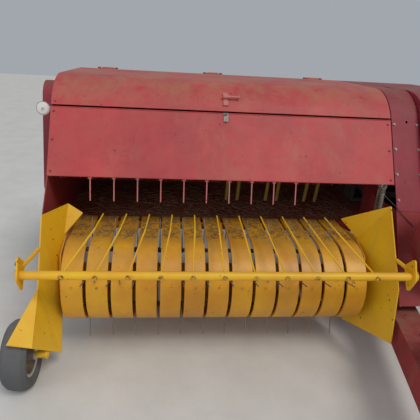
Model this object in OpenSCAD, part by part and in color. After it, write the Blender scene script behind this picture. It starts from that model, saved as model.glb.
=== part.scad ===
// Small square baler: pickup, feeder housing, bale case, knotter, drive and tongue.
// Millimetres. X runs to the machine's left side, Y to the rear, Z up from the ground.

/* [Pickup] */
// Number of stripper bands round the reel
band_count = 13; // [9:1:15]
// Distance from one band to the next
band_pitch = 125; // [110:1:140]
// Open slot between two bands
band_gap = 18; // [16:1:26]
// Outer radius of the bands
band_r = 225; // [200:1:240]
// Height of the reel axis above the ground
reel_z = 455; // [440:1:480]
// Radius that the tine tips sweep
tine_r = 328; // [290:1:330]
// Diameter of a tine
tine_d = 6; // [5:0.5:7]
// Diameter of the windguard tube
guard_d = 42; // [36:1:46]
// Number of windguard rods
guard_rods = 11; // [7:2:11]
// Distance between two windguard rods
guard_pitch = 150; // [146:1:152]

/* [Feeder housing] */
// Inside width of the feeder housing
feeder_w = 1916; // [1880:1:1916]
// Height of the feed table above the ground
table_z = 662; // [650:1:670]
// Height of the flat top of the housing
top_z = 1500; // [1470:5:1560]
// Thickness of the sheet-metal covers
sheet = 5; // [3:0.5:6]
// Number of rods that hang from the housing's lip
hang_rods = 10; // [6:1:10]

/* [Bale case] */
// Inside width of the bale case
case_w = 457; // [440:1:470]
// Inside height of the bale case
case_h = 356; // [340:1:370]
// Thickness of the bale case walls
case_t = 6; // [5:0.5:8]
// Rear end of the bale case, behind the reel axis
case_end = 2720; // [2700:10:2900]

/* [Wheels] */
// Radius of the two main tyres
tyre_r = 355; // [340:1:360]
// Width of the main tyres
tyre_w = 190; // [170:1:200]
// Radius of a main rim
rim_r = 200; // [190:1:215]
// Distance of the axle behind the reel axis
axle_y = 1130; // [1080:5:1200]
// Radius of the pickup's gauge wheel
gauge_r = 175; // [150:1:178]

/* [Drive and tongue] */
// Radius of the flywheel
fly_r = 280; // [240:1:285]
// Thickness of the flywheel's rim
fly_w = 90; // [70:1:100]
// Width of the tongue beam
tongue_w = 150; // [120:1:155]
// Height of the tongue beam
tongue_h = 150; // [120:1:155]
// Length of the tongue from its pivot to the hitch hole
tongue_len = 3050; // [2800:10:3100]
// Angle of the tongue in the transport position
tongue_a = 12.6; // [12:0.1:13.5]

/* [Hidden] */
$fn = 48;
// clearances: a seat at rest, a running gap between moving pieces
seat = 0.3;
gap = 6;
fit = 0.05;

// feeder housing, with its outline in the YZ plane
feeder_x1 = 1007;
feeder_x0 = feeder_x1 - feeder_w;
lip = [80, 1007];
seam = [273, 1352];
slope = (seam[0] - lip[0]) / (seam[1] - lip[1]);
slope_len = sqrt(1 + slope * slope);
nose_a = atan(1 / slope);
nose_r = (top_z - seam[1]) * slope_len / tan(nose_a / 2);
nose_y = seam[0] + (top_z - seam[1]) * (slope + slope_len);
feeder_back = 1150;
lid_knuckles = [for (k = [0:2]) feeder_x0 + 149 + k * (feeder_w - 396) / 2];
lid_z = top_z - 4;
lid_pin = 8;
table_front = 362;

// bale case and its cover
case_cx = 1300;
case_x0 = case_cx - case_w / 2;
case_x1 = case_cx + case_w / 2;
floor_z = table_z;
roof_z = floor_z + case_h;
cover_x0 = feeder_x1 + gap;
cover_x1 = 1587;
case_start = 330;
knot_y = 1830;
knot_shaft = 18;
twine_x = 1650;
twine_z = 1080;
meter_y = 2000;
meter_z = roof_z + 131;
chute_z = floor_z - 22;

// pickup
bands_w = band_count * band_pitch;
band_w = band_pitch - band_gap;
band_t = 4;
hinge_y = 330;
hinge_z = 640;
side_x = bands_w / 2 + 4;
side_t = 8;
lift_pin = 12;
tube_y = -377;
tube_z = 672;

// wheels, at the outermost points on both sides
right_face = -1160;
left_face = 1840;
hub_z = tyre_r;
right_cx = right_face + tyre_w / 2;
left_cx = left_face - tyre_w / 2;

// reel
reel_shaft_r = 20;
reel_bar_at = 150;
reel_bar_r = 11;
reel_lead = 64;
flare_t = 5;

// the gauge wheel's centre and width
gauge_pos = [-992, -298, gauge_r];
gauge_w = 120;

// drive and tongue
fly_y = -230;
fly_z = 800;
pivot = [1240, 560];
tongue_z = 200;
tongue_foot = 70;
jack_at = -2620;
hitch_r = 16;
hitch_ear = 45;
pto_r = 17.5;
rail_z0 = 376;
frame_top = 874;

// the overall box, which puts the origin at the centre of the base
front_end = pivot[1] - tongue_len * cos(tongue_a) - hitch_ear;
rear_end = 3270;
origin = [-(right_face + left_face) / 2, -(front_end + rear_end) / 2, 0];

// Draws a YZ outline as a bar along X.
module along_x(x0, x1) {
    translate([x0, 0, 0]) rotate([90, 0, 90]) linear_extrude(x1 - x0) children();
}

// Draws an XZ outline as a bar along Y.
module along_y(y0, y1) {
    translate([0, y1, 0]) rotate([90, 0, 0]) linear_extrude(y1 - y0) children();
}

// A box from its lowest to its highest corner.
module block(a, b) {
    translate(a) cube(b - a);
}

// A round bar from p to q.
module bar(p, q, d) {
    v = q - p;
    len = norm(v);
    translate(p) rotate([0, acos(v[2] / len), atan2(v[1], v[0])]) cylinder(d = d, h = len);
}

// A cylinder about the X axis from x0 to x1 at [y, z].
module disc_x(x0, x1, y, z, r) {
    translate([x0, y, z]) rotate([0, 90, 0]) cylinder(r = r, h = x1 - x0);
}

// A cylinder about the Y axis from y0 to y1 at [x, z].
module disc_y(y0, y1, x, z, r) {
    translate([x, y0, z]) rotate([-90, 0, 0]) cylinder(r = r, h = y1 - y0);
}

// A ring about the X axis from a half section of [radius, x] points, from angle a0 to a1.
module ring_x(y, z, a0, a1, section) {
    translate([0, y, z]) rotate([90, 0, 90]) rotate([0, 0, a0])
        rotate_extrude(angle = a1 - a0, $fn = 96) polygon(section);
}

// The curved nose of the housing between the seam and the flat top, as a YZ outline.
module nose(inset) {
    intersection() {
        difference() {
            translate([nose_y, top_z - nose_r]) circle(r = nose_r - inset, $fn = 120);
            translate([nose_y, top_z - nose_r]) circle(r = nose_r - inset - sheet, $fn = 120);
        }
        polygon([[seam[0] - 200, seam[1] + 200 * slope], [nose_y, top_z - nose_r],
            [nose_y, top_z + 10], [seam[0] - 200, top_z + 10]]);
    }
}

// A sloped sheet of the housing's front from height z0 to z1, as a YZ outline.
module slope_sheet(z0, z1) {
    y0 = lip[0] + (z0 - lip[1]) * slope;
    y1 = lip[0] + (z1 - lip[1]) * slope;
    t = sheet * slope_len;
    polygon([[y0, z0], [y1, z1], [y1 + t, z1], [y0 + t, z0]]);
}

// The area under the housing's outline down to z0, as a YZ outline.
module under_outline(z0, inset) {
    y0 = lip[0] + (z0 - lip[1]) * slope + inset * slope_len;
    ys = seam[0] + inset * slope_len;
    polygon([[y0, z0], [ys, seam[1]], [nose_y, seam[1]], [nose_y, z0]]);
    intersection() {
        translate([nose_y, top_z - nose_r]) circle(r = nose_r - inset, $fn = 120);
        polygon([[ys, seam[1]], [nose_y, seam[1]], [nose_y, top_z + 10], [seam[0] - 200, top_z + 10],
            [seam[0] - 200, seam[1]]]);
    }
    polygon([[nose_y, z0], [feeder_back, z0], [feeder_back, top_z - inset], [nose_y, top_z - inset]]);
}

module bale_case() {
    rib = 40;
    rib_d = 28;
    x0 = case_x0 - case_t;
    x1 = case_x1 + case_t;
    slots = [case_cx - 110, case_cx + 110];
    color("firebrick") difference() {
        union() {
            block([x0, case_start, floor_z - case_t], [x1, case_end, roof_z + case_t]);
            for (y = [1260, 1600, 2040, 2320, 2600]) {
                block([x0 - rib_d, y, floor_z - case_t - rib_d], [x1 + rib_d, y + case_t, roof_z + case_t + rib_d]);
                block([x0 - case_t, y, floor_z - 2 * case_t], [x1 + case_t, y + rib, roof_z + 2 * case_t]);
            }
            for (x = [x0 - 30, x1]) block([x, 1260, floor_z + 140], [x + 30, case_end, floor_z + 180]);
        }
        block([case_x0, case_start - 1, floor_z], [case_x1, case_end + 1, roof_z]);
        block([x0 - 1, 560, floor_z + 4], [case_x0 + 1, feeder_back - 30, roof_z - 12]);
        for (x = slots) {
            block([x - 24, knot_y - 150, roof_z - 1], [x + 24, knot_y + 40, roof_z + case_t + 1]);
            block([x - 20, knot_y - 60, floor_z - case_t - 1], [x + 20, knot_y + 40, floor_z + 1]);
        }
        block([case_cx - 16, meter_y - 90, roof_z - 1], [case_cx + 16, meter_y + 90, roof_z + 60]);
        for (x = [x0 - 1, case_x1 - 1]) for (z = [floor_z + 60, floor_z + 220])
            block([x, 2120, z], [x + case_t + 2, 2280, z + 60]);
        for (s = [-1, 1]) block([case_cx + s * 130 - 30, 2400, roof_z - 1], [case_cx + s * 130 + 30, 2590, roof_z + case_t + 1]);
    }
    // hinge lugs of the chute, under the rear end
    color("firebrick") for (s = [-1, 1]) {
        x = case_cx + s * 180;
        block([x - 10, case_end - 40, chute_z - 14], [x + 10, case_end + 18, floor_z - case_t]);
        disc_x(x - 10, x + 10, case_end + 18, chute_z, 14);
        disc_x(min(x, x - s * 74), max(x, x - s * 74), case_end + 18, chute_z, 8);
    }
}

module plunger() {
    c = 8;
    color("dimgray") {
        difference() {
            block([case_x0 + c, 760, floor_z + c], [case_x1 - c, 900, roof_z - c]);
            block([case_x0 + c + 20, 750, floor_z + c + 20], [case_x1 - c - 20, 885, roof_z - c - 20]);
            for (x = [case_cx - 110, case_cx + 110])
                block([x - 24, 800, floor_z], [x + 24, 901, roof_z + 1]);
        }
        for (x = [case_x0 + c, case_x1 - c - 30]) block([x, 420, floor_z + 130], [x + 30, 760, floor_z + 190]);
        block([case_x0 + c, 470, floor_z + 140], [case_x1 - c, 500, floor_z + 180]);
        for (x = [case_x0 + seat, case_x1 - seat - 20]) block([x, 430, floor_z + 135], [x + 20, 760, floor_z + 185]);
        bar([case_cx, 485, fly_z], [case_cx, 276, fly_z], 60);
    }
}

// Casing that carries the housing's outline across the front of the bale case.
module case_front_cover() {
    x1 = 1178;
    low = frame_top + seat;
    rest = roof_z + case_t + seat;
    color("firebrick") difference() {
        union() {
            along_x(cover_x0, x1) {
                slope_sheet(low, seam[1]);
                nose(0);
                polygon([[nose_y, top_z - sheet], [feeder_back, top_z - sheet], [feeder_back, top_z], [nose_y, top_z]]);
            }
            along_x(cover_x0, cover_x0 + sheet) under_outline(rest, 1);
            block([cover_x0, feeder_back - sheet, rest], [x1, feeder_back, top_z]);
            block([x1 - 60, 600, rest], [x1 - sheet, 640, top_z - 1]);
        }
        translate([1104, 0, 1335]) rotate([-90, 0, 0]) cylinder(r = 7, h = 600);
        block([1130, 560, top_z - 20], [1150, 700, top_z + 1]);
    }
}

module gearbox_cover() {
    x0 = 1184;
    ahead = 62;
    low = 1060;
    back = feeder_back + ahead;
    rest = roof_z + case_t + seat;
    color("firebrick") translate([0, -ahead, 0]) difference() {
        union() {
            along_x(x0, cover_x1) {
                slope_sheet(low, seam[1]);
                nose(0);
                polygon([[nose_y, top_z - sheet], [back, top_z - sheet], [back, top_z], [nose_y, top_z]]);
            }
            for (x = [x0, cover_x1 - sheet]) along_x(x, x + sheet) under_outline(rest, 1);
            for (x = [x0, cover_x1 - sheet]) block([x, feeder_back - 1, rest], [x + sheet, back, top_z - 1]);
            block([x0, back - sheet, rest], [cover_x1, back, top_z]);
        }
        for (k = [0:5]) block([cover_x1 - 2 * sheet, 520 + 60 * k, 1140], [cover_x1 + 1, 545 + 60 * k, 1300]);
    }
}

// Side plates and cross members from the flywheel back to the axle, with the tongue's pivot plates.
module front_frame() {
    plate = 10;
    x0 = case_x0 - case_t - 46;
    x1 = case_x1 + case_t + 46;
    rail_z1 = floor_z - case_t - seat;
    lean = 283 / 574;
    foot_y = lip[0] + (frame_top - lip[1]) * slope;
    nose_y0 = foot_y - (frame_top - 400) * lean;
    outline = [[nose_y0, 400], [case_start, rail_z0], [1330, rail_z0], [1330, rail_z1], [case_start, rail_z1],
        [case_start, frame_top], [foot_y, frame_top]];
    color("firebrick") {
        difference() {
            union() {
                for (x = [x0 - plate, x1]) along_x(x, x + plate) polygon(outline);
                along_x(x0 - 1, x1 + 1)
                    polygon([[nose_y0 + 2, 402], [foot_y + 1, frame_top - 2], [foot_y + 7, frame_top - 2], [nose_y0 + 8, 402]]);
            }
            translate([case_cx, -400, fly_z]) rotate([-90, 0, 0]) cylinder(r = 120, h = 450);
            for (x = [x0 - plate, x1]) for (y = [480, 760]) translate([x - 1, y, 520]) rotate([0, 90, 0]) cylinder(r = 70, h = 12);
        }
        for (y = [90, 340, 1000]) block([x0 - 1, y, rail_z1 - 70], [x1 + 1, y + 60, y < 200 ? fly_z - 130 - seat : rail_z1 - 1]);
        // pivot plates above and below the tongue, joined behind it
        block([x0 - plate, pivot[1] - 100, rail_z0 - 20], [x1 + plate, pivot[1] + 220, rail_z0]);
        block([pivot[0] - 90, pivot[1] - 90, tongue_z - 26], [pivot[0] + 90, pivot[1] + 220, tongue_z - gap]);
        for (x = [pivot[0] - 85, pivot[0] + 65]) block([x, pivot[1] + 130, tongue_z - 16], [x + 20, pivot[1] + 210, rail_z0 - 10]);
        translate([pivot[0], pivot[1], tongue_z - 50]) cylinder(r = 25, h = rail_z0 - tongue_z + 80);
        translate([pivot[0], pivot[1], rail_z0 - 1]) cylinder(r = 40, h = 20);
    }
}

module gearbox() {
    color("dimgray") {
        difference() {
            block([case_cx - 112, 20, fly_z - 130], [case_cx + 112, 250, fly_z + 170]);
            for (s = [-1, 1]) for (z = [fly_z - 130, fly_z + 170]) translate([case_cx + s * 125, 19, z]) rotate([-90, 0, 0])
                cylinder(r = 45, h = 232);
        }
        disc_x(case_cx - 160, case_cx + 160, 130, fly_z + 20, 95);
        disc_y(-20, 21, case_cx, fly_z, 110);
        disc_y(-80, -20, case_cx, fly_z, 75);
        disc_y(fly_y - 45, -80, case_cx, fly_z, 30);
        disc_y(250, 262, case_cx, fly_z, 110);
        disc_y(262, 276 - seat, case_cx, fly_z, 60);
        for (s = [-1, 1]) block([case_cx + s * 80 - 30, 90, fly_z - 130], [case_cx + s * 80 + 30, 150, fly_z - 100]);
    }
}

// Feed table, end walls and rear wall of the feeder housing.
module feeder_box() {
    x0 = feeder_x0;
    x1 = feeder_x1;
    rear_top = top_z - sheet - gap;
    cheek = [[-95, 800], [lip[0] + sheet, lip[1]], [lip[0] + 60, lip[1]], [table_front + 40, lip[1]], [table_front + 40, table_z - 60],
        [table_front, table_z - 60], [250, 760]];
    color("firebrick") {
        block([x0, table_front, table_z - sheet], [case_x0 - case_t - seat, feeder_back, table_z]);
        block([x0, table_front, table_z - 60], [case_x0 - case_t - 56, table_front + sheet, table_z]);
        block([x0, feeder_back - sheet, table_z - 1], [x1, feeder_back, rear_top]);
        block([x1, feeder_back - sheet, table_z - 1], [case_x0 - case_t - seat, feeder_back, roof_z]);
        // right end wall: full below the seam, and clear of the lid above it
        along_x(x0, x0 + sheet) {
            intersection() {
                under_outline(lip[1], sheet + seat);
                translate([-300, 0]) square([2000, seam[1] - 20]);
            }
            under_outline(lip[1], sheet + gap);
            polygon(cheek);
            translate([table_front, table_z - 1]) square([feeder_back - table_front, lip[1] - table_z + 2]);
        }
        // left end, over the bale case
        along_x(x1 - sheet, x1) {
            intersection() {
                under_outline(roof_z, sheet + seat);
                translate([-300, 0]) square([2000, seam[1] - 20]);
            }
            under_outline(roof_z, sheet + gap);
        }
        for (x = [-800, -350, 100, 550]) block([x, table_front + sheet, table_z - 45], [x + sheet, feeder_back, table_z - sheet]);
        // lugs and pins that carry the pickup
        for (s = [-1, 1]) {
            lug = s * (side_x - gap - 5);
            block([lug - 5, hinge_y - 12, hinge_z - 14], [lug + 5, table_front + 1, hinge_z + 14]);
            pin0 = s * (side_x - gap - 8);
            pin1 = s * (side_x + side_t + 6);
            disc_x(min(pin0, pin1), max(pin0, pin1), hinge_y, hinge_z, lift_pin);
        }
        // hinge pins of the lid
        for (x = lid_knuckles) {
            disc_x(x - 30, x + 110, feeder_back + 14, lid_z, lid_pin);
            for (k = [x - 30, x + 90]) {
                disc_x(k, k + 20, feeder_back + 14, lid_z, 14);
                block([k, feeder_back - 1, rear_top - 40], [k + 20, feeder_back + 14, lid_z]);
            }
        }
    }
}

module feeder_front_panel() {
    fold = 24;
    color("firebrick") {
        along_x(feeder_x0, feeder_x1 - seat) slope_sheet(lip[1], seam[1] - gap - 4);
        along_x(feeder_x0 + sheet + seat, feeder_x1 - sheet - seat)
            translate(lip) polygon([[2, 0.5], [fold, 0.5], [fold, 5], [4.5, 5]]);
    }
}

module hang_rods() {
    drop = 128;
    top = [lip[0] + 12, lip[1] - seat];
    color("indianred") {
        for (i = [0:hang_rods - 1]) {
            x = (i - 5.5) * band_pitch;
            bar([x, top[0], top[1] - 6], [x, top[0] - drop * 0.22, top[1] - drop], 7);
            block([x - 9, top[0] - 6, top[1] - 12], [x + 9, top[0] + 6, top[1]]);
        }
    }
}

// The feeder's carriage: a rail behind the front panel and forks that hang down to the table.
module feeder_fork() {
    rail_y = 640;
    rail_z = 1180;
    color("goldenrod") {
        difference() {
            block([feeder_x0 + sheet + seat, rail_y - 40, rail_z], [feeder_x1 - sheet - seat, rail_y + 40, rail_z + 60]);
            block([feeder_x0, rail_y - 41, rail_z + 8], [feeder_x1, rail_y + 32, rail_z + 52]);
        }
        block([-650, rail_y + 40, 860], [-50, rail_y + 46, rail_z + 40]);
        for (x = [-650, -200]) block([x, rail_y + 46, 860], [x + 30, rail_y + 70, rail_z + 40]);
    }
    color("silver") for (x = [120, 400, 680]) {
        block([x, rail_y - 26, rail_z - 110], [x + 110, rail_y + 26, rail_z]);
        for (s = [16, 94]) {
            bar([x + s, rail_y, rail_z - 110], [x + s, rail_y - 10, 900], 24);
            bar([x + s, rail_y - 10, 906], [x + s, rail_y + 40, table_z + 30], 24);
        }
    }
}

// Tall guard over the pickup's drive chain, outside the right end wall.
module drive_guard() {
    x1 = feeder_x0 - gap;
    x0 = x1 - 116;
    top = [680, 1330];
    foot = [520, 830];
    color("maroon") {
        along_x(x0, x1) hull() {
            translate(top) circle(r = 112, $fn = 32);
            translate(foot) circle(r = 70, $fn = 32);
        }
        for (c = [top, foot]) block([x1 - 1, c[0] - 30, c[1] - 30], [feeder_x0, c[0] + 30, c[1] + 30]);
    }
}

module reflector() {
    c = [feeder_x0 - 48, 300, 1324];
    color("white") translate(c) rotate([90, 0, 0]) rotate_extrude() polygon([[0, 0], [36, 0], [36, 8], [28, 15], [0, 18]]);
    color("silver") block([c[0] - 12, 300, 1312], [feeder_x0, 304, 1336]);
    color("silver") block([feeder_x0 - 4, 300, 1290], [feeder_x0, 380, 1344]);
}

module axle() {
    beam = 90;
    beam_z1 = rail_z0 - seat;
    right_in = right_cx + tyre_w / 2 + 14;
    left_in = left_cx - tyre_w / 2 - 14;
    color("firebrick") {
        difference() {
            block([right_in, axle_y - beam / 2, beam_z1 - beam], [left_in, axle_y + beam / 2, beam_z1]);
            block([right_in + 20, axle_y - beam / 2 + 8, beam_z1 - beam + 8], [left_in - 20, axle_y + beam / 2 - 8, beam_z1 - 8]);
        }
        for (x = [-790, -300, 190, 680]) {
            block([x, axle_y - 36, beam_z1 - 1], [x + 8, axle_y + 15, table_z - 45 - seat]);
            block([x, axle_y - 36, beam_z1 - 1], [x + 60, axle_y - 28, table_z - 45 - seat]);
        }
    }
    color("dimgray") {
        disc_x(right_cx - 72, right_in + 1, axle_y, hub_z, 24);
        disc_x(left_in - 1, left_cx + 72, axle_y, hub_z, 24);
        disc_x(right_cx - 84, right_cx - 70, axle_y, hub_z, 36);
        disc_x(left_cx + 70, left_cx + 84, axle_y, hub_z, 36);
    }
}

module feeder_lid() {
    color("firebrick") difference() {
        union() {
            along_x(feeder_x0, feeder_x1) {
                nose(0);
                polygon([[nose_y - 1, top_z - sheet], [feeder_back - 4, top_z - sheet], [feeder_back - 4, top_z], [nose_y - 1, top_z]]);
            }
            for (x = lid_knuckles) {
                disc_x(x, x + 80, feeder_back + 14, lid_z, 14);
                along_x(x, x + 80) polygon([[feeder_back - 10, top_z - sheet], [feeder_back + 10, lid_z], [feeder_back + 14, lid_z + 14],
                    [feeder_back - 10, top_z]]);
            }
            for (x = [-620, -140, 340, 820]) along_x(x, x + sheet)
                polygon([[nose_y - 60, top_z - sheet - 1], [nose_y + 20, top_z - 36], [feeder_back - 90, top_z - 36],
                    [feeder_back - 60, top_z - sheet - 1], [feeder_back - 60, top_z - 1], [nose_y - 10, top_z - 1]]);
        }
        for (x = lid_knuckles) disc_x(x - 1, x + 81, feeder_back + 14, lid_z, lid_pin + fit);
    }
}

module lid_latch() {
    color("indianred") translate([40, nose_y, top_z - nose_r]) rotate([136, 0, 0]) translate([0, nose_r + seat, 0]) {
        block([-14, 0, -40], [14, 6, 44]);
        block([-6, 5, -14], [6, 16, 6]);
        disc_x(-16, 20, 18, -4, 9);
        block([16, 13, -9], [70, 23, 1]);
        disc_x(69, 76, 18, -4, 10);
    }
}

// A main tyre with a rounded section about an axle along X.
module main_tyre(cx) {
    w = tyre_w / 2;
    color([0.1, 0.1, 0.1]) ring_x(axle_y, hub_z, 0, 360, [[rim_r, cx - w + 22], [rim_r + 40, cx - w],
        [tyre_r - 45, cx - w], [tyre_r - 12, cx - w + 20], [tyre_r, cx - w + 55], [tyre_r, cx + w - 55],
        [tyre_r - 12, cx + w - 20], [tyre_r - 45, cx + w], [rim_r + 40, cx + w], [rim_r, cx + w - 22]]);
}

module main_rim(cx) {
    w = tyre_w / 2 - 22;
    hub = 24 + fit;
    color("gold") difference() {
        ring_x(axle_y, hub_z, 0, 360, [[hub, cx - 66], [52, cx - 66], [52, cx - 8], [rim_r - 60, cx + 4], [rim_r - 26, cx - 12],
            [rim_r - 26, cx - w + 6], [rim_r - 8, cx - w], [rim_r - seat, cx - w], [rim_r - seat, cx + w], [rim_r - 8, cx + w],
            [rim_r - 26, cx + w - 6], [rim_r - 26, cx - 4], [rim_r - 60, cx + 12], [52, cx + 2], [52, cx + 66], [hub, cx + 66]]);
        for (a = [0:60:359]) translate([cx, axle_y, hub_z]) rotate([a, 0, 0]) translate([-40, 96, 0]) rotate([0, 90, 0])
            cylinder(r = 17, h = 80);
    }
}

// Side plates, lower cross channel and upper rail that carry the bands.
module pickup_frame() {
    outline = [[60, 700], [hinge_y - 16, hinge_z + 16], [hinge_y + 20, hinge_z - 10], [320, 420], [372, 388], [356, 330], [300, 310],
        [90, 240], [-60, 270], [-140, 380], [-150, 500], [-100, 640]];
    color("gold") {
        for (x = [-side_x - side_t, side_x]) along_x(x, x + side_t) difference() {
            union() {
                polygon(outline);
                translate([hinge_y, hinge_z]) circle(r = 24);
            }
            translate([0, reel_z]) circle(r = reel_shaft_r + fit);
            translate([hinge_y, hinge_z]) circle(r = lift_pin + fit);
            for (a = [150, 215]) translate([95 * cos(a), reel_z + 95 * sin(a)]) circle(r = 30);
        }
        // rear channels that carry both ends of the bands, outside the tine circle
        translate([0, 0, reel_z]) rotate([22, 0, 0]) block([-side_x, 252, -band_r - 36], [side_x, 290, -band_r - seat]);
        block([-side_x, 282, reel_z + band_r - 44], [side_x, 308, reel_z + band_r - 14 - seat]);
    }
}

// A band's cross-section: a flat face with a folded edge on both sides.
module channel(up) {
    flange = 14;
    polygon([[0, 0], [band_w, 0], [band_w, up * flange], [band_w - band_t, up * flange], [band_w - band_t, up * band_t],
        [band_t, up * band_t], [band_t, up * flange], [0, up * flange]]);
}

module strippers() {
    flange = 14;
    low_a = 292;
    reach = 290;
    section = [[band_r, 0], [band_r, band_w], [band_r - flange, band_w], [band_r - flange, band_w - band_t],
        [band_r - band_t, band_w - band_t], [band_r - band_t, band_t], [band_r - flange, band_t], [band_r - flange, 0]];
    color("gold") for (i = [0:band_count - 1]) {
        x0 = (i - band_count / 2) * band_pitch + band_gap / 2;
        translate([x0, 0, 0]) {
            ring_x(0, reel_z, 90, low_a, section);
            translate([0, 0, reel_z + band_r]) along_y(0, 350) channel(-1);
            translate([0, 0, reel_z]) rotate([low_a - 270, 0, 0]) translate([0, 0, -band_r]) along_y(seat, reach) channel(1);
        }
    }
}

// A thin flat facet between three corners.
module facet(a, b, c) {
    hull() for (p = [a, b, c]) translate(p) cube(flare_t, center = true);
}

// Folded wing outside the drum on the gauge wheel's side.
module flare_outer() {
    x = -side_x - side_t - seat - flare_t / 2;
    lobe = [-740, 100, 793];
    top = [-813, 100, 844];
    shoulder = [-898, -100, 851];
    ridge = [-902, -250, 523];
    tip = [-1000, -448, 346];
    inner_tip = [-902, -420, 306];
    toe = [x, -208, 112];
    root = [x, 30, 696];
    color("gold") {
        facet(lobe, top, root);
        facet(top, shoulder, root);
        facet(shoulder, ridge, root);
        facet(ridge, tip, inner_tip);
        facet(ridge, inner_tip, toe);
        facet(ridge, toe, root);
    }
}

module flare_inner() {
    x = side_x + side_t + seat + flare_t / 2;
    lobe = [740, 100, 785];
    top = [900, -118, 944];
    edge = [930, -305, 553];
    corner = [928, -349, 254];
    toe = [x, 40, 143];
    root = [x, 30, 696];
    color("goldenrod") {
        facet(lobe, top, root);
        facet(top, edge, root);
        facet(edge, toe, root);
        facet(edge, corner, toe);
    }
}

module guard_arms() {
    color("gold") for (s = [-1, 1]) {
        x = s * 936;
        difference() {
            along_x(x - 4, x + 4) hull() {
                translate([tube_y + 6, tube_z + 74]) circle(r = 14, $fn = 32);
                translate([tube_y + 6, tube_z - 66]) circle(r = 14, $fn = 32);
                translate([tube_y - 16, tube_z]) circle(r = 26, $fn = 32);
                translate([tube_y + 52, tube_z + 20]) circle(r = 20, $fn = 32);
            }
            disc_x(x - 5, x + 5, tube_y, tube_z, guard_d / 2 + 4 * fit);
            for (k = [-48, 52]) disc_x(x - 5, x + 5, tube_y + 8, tube_z + k, 7);
        }
        bar([s * 934, tube_y + 44, tube_z + 20], s < 0 ? [-905.1, -176, 703.6] : [920.7, -246.1, 695.8], 20);
    }
}

module windguard_tube() {
    color("gold") disc_x(-950, 962, tube_y, tube_z, guard_d / 2);
}

module windguard_rods() {
    d = 9;
    inward = 0.857;
    knee = [-85, 782];
    rear = [60, 806];
    start = [tube_y + guard_d / 2 - 3, tube_z + 6];
    color("gold") difference() {
        for (i = [0:guard_rods - 1]) {
            x = (i - (guard_rods - 1) / 2) * guard_pitch;
            bend = [x * inward, knee[0], knee[1]];
            foot = [x, start[0] - 6, start[1] - 3];
            bar(foot, bend, d);
            bar(bend + (foot - bend) * 0.02, [x * (inward - 0.03), rear[0], rear[1]], d - 1.5);
        }
        disc_x(-900, 900, tube_y, tube_z, guard_d / 2 + seat);
    }
}

module reel_shaft() {
    end = side_x + side_t;
    color("dimgray") {
        disc_x(-end - 20, end - gap, 0, reel_z, reel_shaft_r);
        for (x = [-side_x + 8, -270, 270, side_x - 14]) difference() {
            disc_x(x, x + 6, 0, reel_z, 172);
            for (a = [0:90:359]) translate([x - 1, 0, reel_z]) rotate([a, 0, 0]) translate([0, 90, 0]) rotate([0, 90, 0])
                cylinder(r = 42, h = 8);
            reel_bars(x - 1, x + 7, reel_bar_r + fit);
        }
    }
}

// The reel's bars between x0 and x1.
module reel_bars(x0, x1, r) {
    for (k = [0:3]) {
        a = reel_lead + k * 90;
        disc_x(x0, x1, reel_bar_at * cos(a), reel_z + reel_bar_at * sin(a), r);
    }
}

module reel_tines() {
    rake = 5;
    color("silver") {
        reel_bars(-side_x + 6, side_x - 6, reel_bar_r);
        for (k = [0:3]) for (i = [0:band_count - 2]) {
            a = reel_lead + k * 90;
            x = (i - (band_count - 2) / 2) * band_pitch;
            root = [x, reel_bar_at * cos(a), reel_z + reel_bar_at * sin(a)];
            bar(root, [x, tine_r * cos(a + rake), reel_z + tine_r * sin(a + rake)], tine_d);
        }
    }
}

module gauge_bracket() {
    x = -876;
    base = [-30, 340];
    color("gold") {
        along_x(x, x + 10) difference() {
            hull() {
                translate([gauge_pos[1], gauge_pos[2]]) circle(r = 26, $fn = 32);
                translate(base) circle(r = 34, $fn = 32);
            }
            translate([gauge_pos[1], gauge_pos[2]]) circle(r = 12);
        }
        disc_x(x + 9, -side_x - side_t - seat, base[0], base[1], 24);
    }
    color("silver") {
        disc_x(gauge_pos[0] - 70, x + 14, gauge_pos[1], gauge_pos[2], 12);
        disc_x(gauge_pos[0] - 76, gauge_pos[0] - 68, gauge_pos[1], gauge_pos[2], 20);
        disc_x(-916, x, gauge_pos[1], gauge_pos[2], 22);
    }
}

module gauge_tyre() {
    w = gauge_w / 2;
    cx = gauge_pos[0];
    color("dimgray") ring_x(gauge_pos[1], gauge_pos[2], 0, 360, [[gauge_r - 62, cx - w + 14], [gauge_r - 40, cx - w],
        [gauge_r - 20, cx - w], [gauge_r - 4, cx - w + 20], [gauge_r, cx - w + 42], [gauge_r, cx + w - 42],
        [gauge_r - 4, cx + w - 20], [gauge_r - 20, cx + w], [gauge_r - 40, cx + w], [gauge_r - 62, cx + w - 14]]);
}

module gauge_rim() {
    cx = gauge_pos[0];
    edge = gauge_r - 62 - seat;
    color("gray") ring_x(gauge_pos[1], gauge_pos[2], 0, 360, [[12 + fit, cx - 62], [30, cx - 62], [30, cx - 6], [edge - 14, cx - 6],
        [edge - 14, cx - 42], [edge, cx - 46], [edge, cx + 46], [edge - 14, cx + 42], [edge - 14, cx + 4], [30, cx + 4],
        [30, cx + 62], [12 + fit, cx + 62]]);
}

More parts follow.
